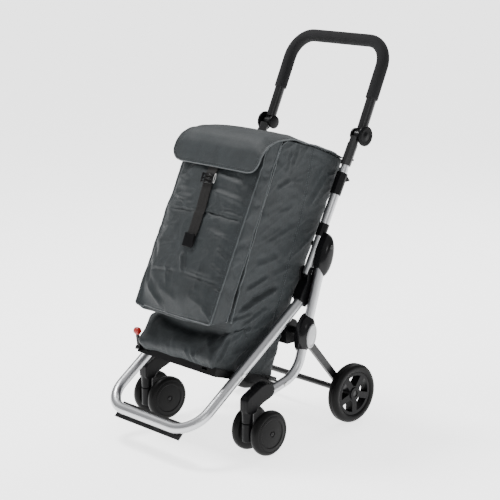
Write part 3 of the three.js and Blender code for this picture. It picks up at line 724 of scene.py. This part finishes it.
# creases on the pocket's face: start and end as (x, height up the face), width and height
FACE_FOLDS = [
    ((-126, 262), (-8, 268), 6, -4.0), ((6, 271), (146, 268), 6, -4.2), ((-128, 301), (-40, 297), 12, 4.0),
    ((-124, 279), (-30, 284), 9, 2.6), ((12, 328), (140, 313), 13, 4.2), ((60, 300), (130, 292), 9, 2.4),
    ((20, 272), (44, 262), 6, 3.0), ((-12, 162), (10, 106), 9, 4.6), ((-118, 96), (-4, 106), 8, -3.2),
    ((-2, 106), (146, 100), 8, -3.8), ((-130, 76), (-30, 12), 13, 3.6), ((118, 90), (148, 80), 5, 3.0),
    ((98, 190), (142, 160), 10, 3.6), ((90, 150), (146, 122), 8, 2.8), ((-116, 156), (-46, 176), 14, 3.2),
    ((-126, 212), (-60, 226), 13, 2.8), ((40, 230), (136, 208), 14, 3.0), ((-70, 64), (20, 40), 13, 2.4),
    ((50, 60), (136, 34), 12, 3.0), ((-134, 350), (-70, 336), 13, 2.8), ((20, 366), (120, 352), 13, 2.6),
    ((104, 40), (142, 10), 8, 3.0), ((-60, 130), (-30, 60), 13, 2.2), ((60, 150), (74, 60), 14, 2.0),
    ((-136, 120), (-112, 40), 9, 2.6),
]
# pleats of the skirt under the pocket: start and end as (x, z), width and height
SKIRT_FOLDS = [
    ((-132, 290), (-112, 232), 12, 2.6), ((-40, 268), (64, 276), 15, 2.6), ((36, 262), (58, 226), 8, 3.2),
    ((60, 258), (84, 228), 8, 3.0), ((84, 290), (136, 262), 11, 3.4), ((70, 240), (138, 292), 12, 3.0),
    ((-96, 244), (-10, 238), 14, 1.8),
]
# the side panels' seam, from the top to the tray
SIDE_SEAM = [(279, 742), (235, 570), (175, 411), (136, 300), (112, 214)]


def side_view(point):
    return ((point.y - CASTER_Y) / MM, point.z / MM)


def over_tray(y, z):
    """The height over the tray's sloping floor."""
    return z - (153 + (144 - y) * 0.324)


def crumple(point, scale, height, seed):
    """Small irregular waves, the same each run."""
    return noise.noise(point * scale + Vector((seed, seed * 2, 0))) * height


def polyline_distance(point, line):
    best = 1e9
    p = Vector(point)
    for a, b in zip(line, line[1:]):
        a, b = Vector(a), Vector(b)
        t = min(max((p - a).dot(b - a) / (b - a).length_squared, 0), 1)
        best = min(best, (p - a.lerp(b, t)).length)
    return best


def sign_of(x):
    return -1 if x < 0 else 1


def wrinkle(u, v, long, wide, seed):
    """Thin irregular crests, drawn out along u: 1 on a crest, 0 between them."""
    wave = noise.noise(Vector((u / long, v / wide, seed * 3.7)))
    return max(0, 1 - abs(wave) * 5) ** 1.5


def with_normals(mesh):
    """Each vertex with its normal as it is now, before any is moved."""
    mesh.update()
    return [(v, v.normal.copy()) for v in mesh.vertices]


def crease_bag(mesh):
    """Folds on the side panels and the skirt, the panels' seams, and slight waves everywhere."""
    for vertex, normal in with_normals(mesh):
        y, z = side_view(vertex.co)
        x = vertex.co.x / MM
        facing = smooth_step((abs(normal.x) - 0.3) * 2)
        rise = 0.0
        if facing > 0:
            shift = Vector((9, -14)) if x < 0 else Vector((0, 0))
            strength = 1.35 - 0.5 * smooth_step((z - 420) / 200)
            for start, end, width, height in SIDE_FOLDS:
                rise += strength * height * ridge(Vector((y, z)) + shift, start, end, width * 1.15)
            rise -= 1.3 * bell(polyline_distance((y, z), SIDE_SEAM) / 2.2)
            rise *= facing
        if facing < 1 and y < 40 and z < 300:
            for start, end, width, height in SKIRT_FOLDS:
                rise += (1 - facing) * height * ridge((x, z), start, end, width)
        if y < 40:
            # the skirt bulges over the tray's front rim, clear of the release lever
            reach = (10 + 11 * bell((x + 116) / 24)) * smooth_step((x + 136) / 10)
            vertex.co.y -= reach * bell((z - 252) / 21) * MM * (1 - 0.6 * facing)
            # and its upper lip sags between its corners
            vertex.co.z += 13 * (x / 140) ** 2 * bell((z - 290) / 18) * MM
        low = smooth_step((440 - z) / 200)
        rise += crumple(vertex.co, 13, 2.2 + 1.6 * low, 3) + crumple(vertex.co, 30, 0.6 + 0.8 * low, 7)
        slant = wrinkle(y * 0.9 + z * 0.44, z * 0.9 - y * 0.44, 130, 34, sign_of(x))
        rise += (0.9 + 2.0 * low) * slant * facing
        vertex.co += normal * rise * MM
        # the mouth's sides rise in the middle, to meet the lid
        share = min(max((y - MOUTH_FRONT[0]) / MOUTH_DEPTH, 0), 1)
        vertex.co.z += 6.5 * MM * math.sin(math.pi * share) * smooth_step((above_mouth(y, z) + 40) / 40)


def above_mouth(y, z):
    """How far a point stands above the line from the mouth's front to its back, so negative below it."""
    return (y - MOUTH_FRONT[0]) * MOUTH_SLOPE + z - MOUTH_FRONT[1]


def keep_clear(mesh, lower, upper, rim):
    """Keeps the bag's walls off the frame tubes, and inside the tray's rim below it."""
    for vertex in mesh.vertices:
        y, z = side_view(vertex.co)
        limit = lower + (upper - lower) * smooth_step((over_tray(y, z) - rim) / 14)
        x = vertex.co.x / MM
        if abs(x) > limit - 2:
            over = (abs(x) - limit + 2) / 6
            vertex.co.x = math.copysign(limit - 2 + 2 * math.tanh(over * 3), x) * MM


def thicken(mesh, thickness):
    """Gives a wall its cloth thickness, inwards, with a rim at its open edge."""
    depth = thickness * MM
    return modified(mesh, "SOLIDIFY", thickness=depth, offset=-1, use_even_offset=False, use_rim=True)


def split_at_fold(name, mesh, *replaced, look=None):
    """The part below the fold pivot stays on the side frame, the part above goes with the tubes."""
    made = []
    store = mesh.attributes.new("rest_normal", "FLOAT_VECTOR", "POINT")
    store.data.foreach_set("vector", [c for v in mesh.vertices for c in v.normal])
    for half, body, keep_above in (("lower", "side_frame", False), ("upper", "upper_frame", True)):
        work = bmesh.new()
        work.from_mesh(mesh)
        everything = work.verts[:] + work.edges[:] + work.faces[:]
        bmesh.ops.bisect_plane(
            work, geom=everything, dist=1e-7, plane_co=FOLD, plane_no=UP_TUBE,
            clear_outer=not keep_above, clear_inner=keep_above,
        )
        part = bpy.data.meshes.new(name)
        work.to_mesh(part)
        work.free()
        if not part.vertices:
            continue
        item = piece(f"{name}_{half}", part, body, "bag_fabric", look=look, smooth=None)
        flat = [0.0] * (3 * len(part.vertices))
        part.attributes["rest_normal"].data.foreach_get("vector", flat)
        part.normals_split_custom_set_from_vertices([flat[i:i + 3] for i in range(0, len(flat), 3)])
        crumples(item)
        made.append(item)
    if replaced:
        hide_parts(*replaced)
    return made


def crumples(item):
    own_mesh(item)


class Skin:
    """A finished wall's outer face, that piping, stitches and the strap are laid on."""

    def __init__(self, mesh):
        self.tree = BVHTree.FromPolygons([v.co for v in mesh.vertices], [p.vertices for p in mesh.polygons])

    def lay(self, point, direction, lift):
        """The point pushed along a direction onto the wall, standing off it by lift millimetres."""
        direction = direction.normalized()
        hit = self.tree.ray_cast(point - direction * 0.08, direction, 0.2)
        if hit[0] is None:
            hit = self.tree.find_nearest(point)
        return hit[0] - direction * lift * MM

    def trace(self, corners, direction, lift):
        """A line through corners, laid on the wall, with a point every few millimetres."""
        return [self.lay(p, direction, lift) for p in dense(corners)]

    def nearest(self, corners):
        """The line through corners, moved to the wall's nearest points."""
        return [self.tree.find_nearest(p)[0] for p in dense(corners)]


def dense(corners, step=5):
    """The line through corners, with a point every step millimetres."""
    points = []
    for a, b in zip(corners, corners[1:]):
        count = max(1, round((b - a).length / MM / step))
        points += [a.lerp(b, i / count) for i in range(count)]
    return points + [corners[-1]]


def stitches(points, radius=0.5, length=3.4, gap=2.2):
    """A dashed line of thread through points."""
    vertices, faces = [], []
    run = 0.0
    for a, b in zip(points, points[1:]):
        span = (b - a).length / MM
        if span < 1e-6:
            continue
        ahead = (b - a).normalized()
        side = ahead.orthogonal().normalized()
        other = ahead.cross(side)
        while run + length < span:
            loops = []
            for d, r in ((0, 0.4), (0.6, 1), (length - 0.6, 1), (length, 0.4)):
                centre, reach = a + ahead * (run + d) * MM, radius * r * MM
                loops.append(ring_at(vertices, centre, side * reach, other * reach, 6))
            faces += capped(loops)
            run += length + gap
        run = max(run - span, 0.0)
    return mesh_from(vertices, faces)


def cord_mesh(points, radius, sides=8):
    """A thin round cord through points, such as piping or a line of thread."""
    route = []
    for i, point in enumerate(points):
        a, b = points[max(i - 1, 0)], points[min(i + 1, len(points) - 1)]
        route.append((point, (b - a).normalized()))
    return sweep(route, [(0, radius * 0.8), (radius * 0.3, radius)], sides=sides)


def bag():
    def half_at(t):
        return BAG_HALF - 8 + 2.5 * smooth_step(t / 0.3)

    mesh = loft(BAG_FRONT, BAG_BACK, half_at, 9, 82, 190)

    def hold(point):
        y, z = side_view(point)
        if over_tray(y, z) < 12:
            return 1.0
        if above_mouth(y, z) > -12:
            return 0.9
        edge = abs(abs(point.x / MM) - (BAG_HALF - 9))
        return 0.25 if edge < 4 else 0.02

    billow(mesh, hold, 0.012, 0.5, 4 * MM)
    mesh = modified(mesh, "SUBSURF", levels=1)
    crease_bag(mesh)
    keep_clear(mesh, TRAY_HALF - 4.6, BAG_HALF + 3.4, 9)
    skin = Skin(mesh)
    split_at_fold("bag_body_cloth", thicken(mesh, CLOTH), "bag_body")
    for side, sign in SIDES:
        edge = BAG_FRONT[BAG_FRONT.index(EDGE_FOOT):]
        line = skin.nearest([place(sign * BAG_HALF, y, z) for y, z in edge])
        split_at_fold(f"edge_piping_{side}", cord_mesh(line, 2.2 * MM), look=PIPING)
        inward = Vector((-sign, 0, 0))
        for n, shift in enumerate((-3.4, 3.4)):
            line = [place(sign * 150, y + shift, z) for y, z in SIDE_SEAM]
            thread = stitches(skin.trace(line, inward, 0.35))
            split_at_fold(f"side_seam_{side}_{n}", thread, look=THREAD)


def pocket():
    def half_at(t):
        return POCKET_HALF + 0.6 + 1.5 * math.sin(math.pi * t)

    mesh = loft(POCKET_FRONT, POCKET_BACK, half_at, 7, 76, 150)

    def hold(point):
        y, z = side_view(point)
        if z > 735 or z < 346:
            return 0.8
        edge = abs(abs(point.x / MM) - (POCKET_HALF - 5))
        return 0.5 if edge < 5 else 0.01

    billow(mesh, hold, 0.015, 1.4, 9 * MM)
    mesh = modified(mesh, "SUBSURF", levels=1)
    foot = place(0, *POCKET_FOOT)
    up = (place(0, *POCKET_TOP) - foot).normalized()
    forward = Vector((0, -up.z, up.y))
    for vertex, normal in with_normals(mesh):
        x = vertex.co.x / MM
        height = (vertex.co - foot).dot(up) / MM
        facing = max(0, normal.dot(forward))
        across = min(abs(x) / POCKET_HALF, 1)
        crown = 11 * (1 - across ** 3) * smooth_step(height / 60) * smooth_step((430 - height) / 60)
        rise = crown * facing
        for start, end, width, depth in FACE_FOLDS:
            rise += 1.25 * depth * facing * ridge((x, height), start, end, width)
        inside = min(POCKET_HALF - abs(x), height)
        rise -= facing * 0.9 * bell((inside - 8) / 1.8)
        rise += crumple(vertex.co, 15, 2.4, 11) + crumple(vertex.co, 38, 0.7, 5)
        rise += 1.3 * facing * wrinkle(x + height * 0.3, height - x * 0.2, 100, 44, 2)
        vertex.co += normal * rise * MM
        sag = smooth_step((POCKET_HALF + x) / 34) * (1 - 0.75 * smooth_step((x - 20) / 120))
        vertex.co.z -= 8 * MM * sag * smooth_step(1 - height / 80)
    skin = Skin(mesh)
    # faces turned sideways take the darker copy of the cloth: painted shade on the gussets
    for polygon in mesh.polygons:
        polygon.material_index = 1 if abs(polygon.normal.x) > 0.75 else 0
    for item in split_at_fold("bag_pocket_cloth", thicken(mesh, CLOTH), "bag_pocket"):
        item.data.materials.append(GUSSET_PAINTED_SHADE.material)
    trim_pocket(skin, foot, up, forward)
    return skin


def trim_pocket(skin, foot, up, forward):
    """Piping round the pocket's face and behind its gussets, and a stitched line inside the face."""
    tall = (place(0, *POCKET_TOP) - foot).length
    edge = POCKET_HALF * MM

    def face_point(x, height):
        return foot + up * height + Vector((x, 0, 0))

    frame_line = [
        *[place(-POCKET_HALF, y, z) for y, z in reversed(POCKET_HEAD)],
        face_point(-edge, tall), face_point(-edge, 6 * MM), face_point(-edge + 6 * MM, 0),
        face_point(edge - 6 * MM, 0), face_point(edge, 6 * MM), face_point(edge, tall),
        *[place(POCKET_HALF, y, z) for y, z in POCKET_HEAD],
    ]
    split_at_fold("pocket_piping", cord_mesh(skin.nearest(frame_line), 1.7 * MM), look=PIPING)
    inset = 9 * MM
    inner = edge - inset
    corners = [face_point(x, z) for x, z in ((-inner, tall), (-inner, inset), (inner, inset), (inner, tall))]
    thread = stitches(skin.trace(corners, -forward, 0.3))
    split_at_fold("pocket_stitching", thread, look=THREAD)
    for side, sign in SIDES:
        back = [place(sign * POCKET_HALF, y, z) for y, z in POCKET_BACK]
        rear = [p + Vector((sign * 1.2 * MM, 0, 0)) for p in skin.nearest(back)]
        split_at_fold(f"gusset_piping_{side}", cord_mesh(rear, 2.2 * MM), look=PIPING)


FLAP = [
    (384, 710), (340, 731), (299, 748), (262, 765), (214, 785), (180, 790), (150, 791), (127, 790),
    (104, 780), (84, 759), (71, 731), (65, 703),
]
FLAP_RUN = sum(math.dist(a, b) for a, b in zip(FLAP, FLAP[1:]))
FLAP_CORNER = 44


def lid_half(run):
    """Half the lid's width, run along it from the hinge."""
    return 152.4 + 9 * smooth_step((run - 190) / 130)


def corner_cut(left):
    """How far the lid's round corner draws its side in, left to go to the free edge."""
    if left >= FLAP_CORNER:
        return 0.0
    return FLAP_CORNER - math.sqrt(max(FLAP_CORNER**2 - (FLAP_CORNER - left) ** 2, 0))


def flap_point(run, x_share):
    """A point on the lid's outer face: run along it from the hinge, x_share of the way to its side."""
    left = FLAP_RUN - run
    half, inset = lid_half(run), corner_cut(left)
    x = x_share * (half - inset)
    share = run / FLAP_RUN
    here = along(FLAP, share)
    ahead = along(FLAP, min(share + 0.01, 1)) - along(FLAP, max(share - 0.01, 0))
    outward = Vector((ahead.y, -ahead.x)).normalized()
    if outward.dot(Vector((-0.3, 1))) < 0:
        outward = -outward
    side = smooth_step((abs(x) - half + 36) / 36)
    droop = 10 * side * smooth_step((run - 70) / 120) + 2.5 * (abs(x) / half) ** 2
    wave = 2.0 * noise.noise(Vector((x / 70, run / 60, 2))) + 0.8 * noise.noise(Vector((x / 22, run / 30, 5)))
    wave *= smooth_step(run / 80)
    edge = min(half - inset - abs(x), left)
    seam = 0.5 * smooth_step((8 - edge) / 6) - 0.7 * bell((edge - 9) / 1.6)
    spot = here + outward * (wave + seam)
    return place(x, spot.x, spot.y - droop * (0.35 + 0.65 * smooth_step(left / 110)))


def flap():
    """The lid: from its hinge over the bag's top and down in front, with round lower corners."""
    rows, count = 120, 130
    vertices = []
    for j in range(rows + 1):
        for k in range(count + 1):
            s = 2 * k / count - 1
            s = math.copysign(1 - (1 - abs(s)) ** 1.15, s)
            vertices.append(flap_point(FLAP_RUN * j / rows, s))
    mesh = mesh_from(vertices, grid_faces(rows + 1, count + 1))
    if mesh.polygons[len(mesh.polygons) // 3].normal.z < 0:
        mesh.flip_normals()
    items = [piece("bag_flap_cloth", thicken(mesh, 3.0), "flap", "bag_fabric", "bag_flap", smooth=50)]
    # the bound edge, and two stitched lines inside it
    for name, inset, radius in (("binding", 0.4, 1.7), ("stitch_outer", 6, 0), ("stitch_inner", 10.5, 0)):
        line = flap_edge(inset)
        if radius:
            made = cord_mesh(line, radius * MM)
        else:
            made = stitches([p + Vector((0, -0.25 * MM, 0.35 * MM)) for p in line], 0.45)
        items.append(piece(f"bag_flap_{name}", made, "flap", "bag_fabric", look=PIPING, smooth=60))
    for item in items:
        crumples(item)


def flap_edge(inset):
    """The lid's free edge, down one side, across the front and up the other, moved in by inset."""
    runs = [30 + (FLAP_RUN - inset - 30) * i / 90 for i in range(91)]

    def side_share(run):
        left = FLAP_RUN - run
        reach = lid_half(run) - corner_cut(left)
        return max(0, (reach - inset * (1 if left > FLAP_CORNER else 0.8)) / reach)

    last = side_share(runs[-1])
    points = [flap_point(run, -side_share(run)) for run in runs]
    points += [flap_point(runs[-1], last * (i / 30 - 1)) for i in range(1, 60)]
    return points + [flap_point(run, side_share(run)) for run in reversed(runs)]


def strap(skin):
    """The webbing that ties the lid down over the pocket, its buckle, end tag and hook."""
    low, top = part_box("bag_strap")
    head = Vector((0, low.y + (top.y - low.y) * 0.98, top.z - 1 * MM))
    foot = Vector((0, low.y + 1.5 * MM, low.z + 1 * MM))
    run = foot - head
    forward = Vector((0, run.z, -run.y)).normalized()
    if forward.y > 0:
        forward = -forward

    def over(point):
        """The point moved forward, if the pocket swells past it."""
        spots = [point + Vector((x * MM, 0, z * MM)) for x in (-12, 0, 12) for z in (-6, 6)]
        swell = max((skin.lay(spot, -forward, 1.6) - spot).dot(forward) for spot in spots)
        return point + forward * max(0, swell)

    steps, width = 60, 17 * MM
    # sewn to the lid's underside, a little above the lid's edge
    sewn = place(0, 77, 733)
    centres = [sewn.lerp(head, i / 8) for i in range(8)]
    for i in range(steps + 1):
        t = i / steps
        lean = math.sin(t * math.pi) * 3.5 * MM + 0.9 * MM * noise.noise(Vector((0, t * 6, 4)))
        centres.append(over(head + run * t + forward * lean + Vector((4 * MM * math.sin(t * 2.2), 0, 0))))
    vertices = []
    for centre in centres:
        for k in range(9):
            s = k / 4 - 1
            raised = 0.25 * MM * math.cos(s * 9) - 0.3 * MM * s * s
            vertices.append(centre + Vector((s * width, 0, 0)) + forward * raised)
    mesh = mesh_from(vertices, grid_faces(len(centres), 9))
    if mesh.polygons[-1].normal.dot(forward) < 0:
        mesh.flip_normals()
    mesh = thicken(mesh, 1.3)
    items = [piece("bag_strap_webbing", mesh, "flap", "strap_webbing", "bag_strap", smooth=60)]
    down = run.normalized()

    def plate(name, at, length, half, proud, thick, slot, shift=0):
        work = bmesh.new()
        middle = over(head + run * at) + forward * proud * MM + Vector((shift * MM, 0, 0))
        made = bmesh.ops.create_cube(work, size=1)
        scale = Matrix.Diagonal((half * 2 * MM, thick * MM, length * MM, 1))
        turn = Matrix((Vector((1, 0, 0)), forward, -down)).transposed().to_4x4()
        bmesh.ops.transform(work, matrix=Matrix.Translation(middle) @ turn @ scale, verts=made["verts"])
        bmesh.ops.bevel(work, geom=work.edges[:], offset=1.2 * MM, segments=3, affect="EDGES")
        mesh = bpy.data.meshes.new(name)
        work.to_mesh(mesh)
        work.free()
        flip_outwards(mesh)
        return piece(name, mesh, "flap", slot, smooth=50)

    for n, at in enumerate((0.085, 0.135, 0.185)):
        items.append(plate(f"strap_buckle_bar_{n}", at, 4.2, 20, 4.4, 3.4, "black_gloss"))
    for n, x in enumerate((-19.2, 19.2)):
        items.append(plate(f"strap_buckle_side_{n}", 0.135, 26, 2.4, 4.2, 3.8, "black_gloss", x))
    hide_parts("strap_buckle")
    items.append(plate("strap_end_tag", 0.935, 36, 18.5, 1.8, 3.6, "black_plastic", 3))
    ring = []
    for i in range(29):
        a = 2 * math.pi * i / 28
        spot = over(head + run * 0.12) + forward * 4 * MM
        ring.append(spot + Vector((26 * MM + 3 * MM * math.cos(a), 0, 0)) - down * 12 * MM * math.sin(a))
    hook = cord_mesh(ring, 0.9 * MM, 10)
    items.append(piece("strap_hook", hook, "flap", "fastener_steel", smooth=60))
    for item in items:
        crumples(item)


# ---------- rounded mouldings ----------
def softened():
    """Moulded parts whose CAD solids are faceted: remeshed finely, with their edges rounded over."""
    for node, body, voxel, rounds in (
        ("caster_housing", "side_frame", 1.6, 10), ("frame_connector", "front_frame", 1.6, 8),
        ("caster_fork", "caster_{}", 1.4, 8),
    ):
        for side, _ in SIDES:
            name = f"{node}_{side}"
            mesh = NODES[name].data.copy()
            mesh.transform(NODES[name].matrix_world)
            mesh = modified(mesh, "REMESH", mode="VOXEL", voxel_size=voxel * MM)
            mesh = modified(mesh, "SMOOTH", factor=0.5, iterations=rounds)
            piece(f"{name}_moulded", mesh, body.format(side), SLOT_OF[name], name, smooth=60)


# ---------- CAD nodes that stay ----------
def dress_cad():
    for name, item in NODES.items():
        if item.hide_render:
            continue
        look = DARK_PIN if name.startswith(("fold_pin", "link_pin")) else LOOKS[SLOT_OF[name]]
        dress(item.data, look, 38)
        bevel = item.modifiers.new("soft_edges", "BEVEL")
        set_all(bevel, width=0.7 * MM, segments=2, limit_method="ANGLE", angle_limit=math.radians(40))


camera()
studio()
tubes()
handle()
wheels()
knobs()
covers()
softened()
bag()
pocket_skin = pocket()
flap()
strap(pocket_skin)
dress_cad()
